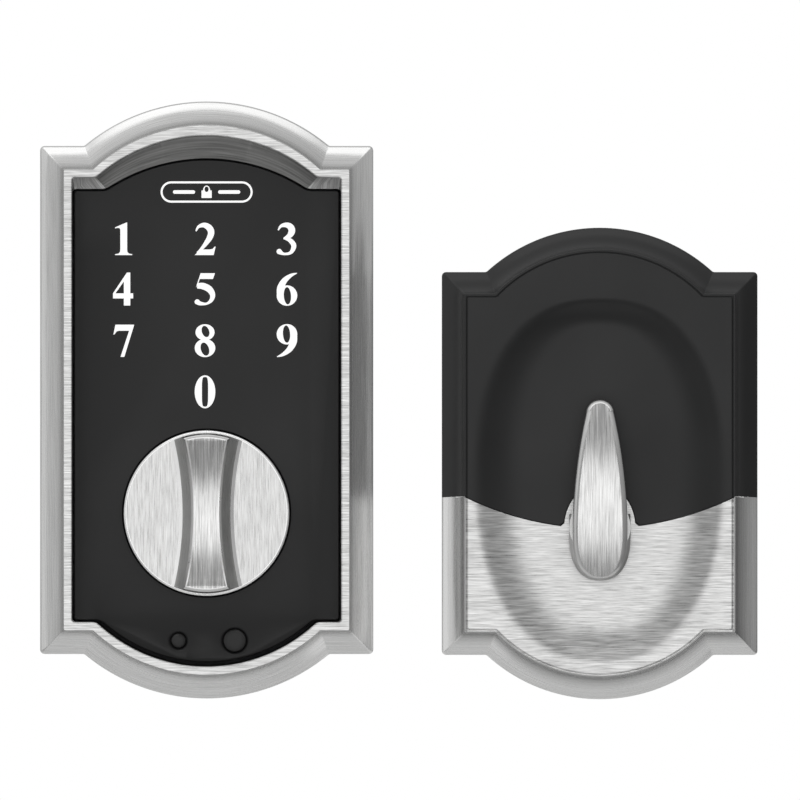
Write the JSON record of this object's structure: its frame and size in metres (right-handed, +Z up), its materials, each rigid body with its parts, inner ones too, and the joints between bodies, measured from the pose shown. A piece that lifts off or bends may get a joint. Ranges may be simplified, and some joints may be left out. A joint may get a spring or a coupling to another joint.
{
  "type": "keypad smart lock",
  "caption": "Keypad door lock in two assemblies side by side: outside touch keypad with a free-turning knob, inside thumb-turn with a sliding battery cover.",
  "frame": {"origin": "centre of the outside assembly, in the door plane (the back face of its door gasket)", "axes": "+X to the right seen from the front, +Y into the door, +Z up"},
  "size_m": [0.1621, 0.0942, 0.1351],
  "materials": {
    "satin_nickel": "brushed satin nickel",
    "black_glass": "satin black touch panel with white printed digits",
    "black_plastic": "fine satin",
    "grey_plastic": "moulded",
    "clear_plastic": "milky light guide",
    "black_rubber": "matt",
    "steel": "zinc plated",
    "brass": "machined",
    "circuit_board": "solder mask",
    "battery_wrap": "plain wrap"
  },
  "bodies": {
    "root": {"outside_escutcheon": "satin_nickel", "touch_panel": "black_glass", "panel_gasket": "black_rubber", "light_guide": "clear_plastic", "keypad_sensor_board": "circuit_board", "outside_chassis": "grey_plastic", "control_board": "circuit_board", "back_plate": "steel", "outside_door_gasket": "black_rubber", "back_plate_screw_1": "steel", "back_plate_screw_2": "steel", "back_plate_screw_3": "steel", "back_plate_screw_4": "steel", "mounting_post_left": "steel", "mounting_post_right": "steel", "clutch_collar": "steel", "cable_grommet": "black_rubber", "contact_spring_small": "brass", "contact_spring_large": "brass", "knob_bushing": "brass", "clutch_motor": "steel", "inside_escutcheon": "satin_nickel", "support_plate": "steel", "inside_chassis": "grey_plastic", "chassis_screw_1": "steel", "chassis_screw_2": "steel", "chassis_screw_3": "steel", "chassis_screw_4": "steel", "through_bolt_left": "steel", "through_bolt_right": "steel", "battery_tray": "grey_plastic", "battery": "battery_wrap", "battery_terminal_small": "steel", "battery_terminal_large": "steel", "battery_snap_connector": "black_plastic", "inside_circuit_board": "circuit_board", "position_switch": "black_plastic", "thumb_turn_bushing": "brass", "wave_washer": "steel"},
    "outside_knob": {"outside_knob": "satin_nickel", "knob_shaft": "steel", "knob_retaining_ring": "steel", "clutch_hub": "brass"},
    "clutch_pin": {"clutch_pin": "steel"},
    "tailpiece": {"tailpiece_hub": "brass", "tailpiece": "steel"},
    "contact_pad_small": {"contact_pad_small": "black_plastic"},
    "contact_pad_large": {"contact_pad_large": "black_plastic"},
    "thumb_turn": {"thumb_turn": "satin_nickel", "thumb_turn_spindle": "brass", "thumb_turn_retaining_clip": "steel"},
    "battery_cover": {"battery_cover": "black_plastic"}
  },
  "joints": [
    {"name": "knob_turn", "type": "hinge", "parent": "root", "child": "outside_knob", "pos_m": [0, 0, -0.02557], "axis": [0, 1, 0], "continuous": true},
    {"name": "clutch_pin_slide", "type": "slide", "parent": "outside_knob", "child": "clutch_pin", "axis": [0, 1, 0], "range_m": [0, 0.0015], "stiffness_N_per_m": 200},
    {"name": "tailpiece_turn", "type": "hinge", "parent": "root", "child": "tailpiece", "pos_m": [0, 0, -0.02557], "axis": [0, 1, 0], "range_deg": [-90, 90]},
    {"name": "contact_small_press", "type": "slide", "parent": "root", "child": "contact_pad_small", "axis": [0, 1, 0], "range_m": [0, 0.0005], "stiffness_N_per_m": 1500},
    {"name": "contact_large_press", "type": "slide", "parent": "root", "child": "contact_pad_large", "axis": [0, 1, 0], "range_m": [0, 0.0005], "stiffness_N_per_m": 1500},
    {"name": "thumb_turn", "type": "hinge", "parent": "root", "child": "thumb_turn", "pos_m": [0.08879, 0, -0.02868], "axis": [0, 1, 0], "range_deg": [-90, 90]},
    {"name": "cover_slide", "type": "slide", "parent": "root", "child": "battery_cover", "axis": [0, 0, 1], "range_m": [0, 0.07]}
  ]
}
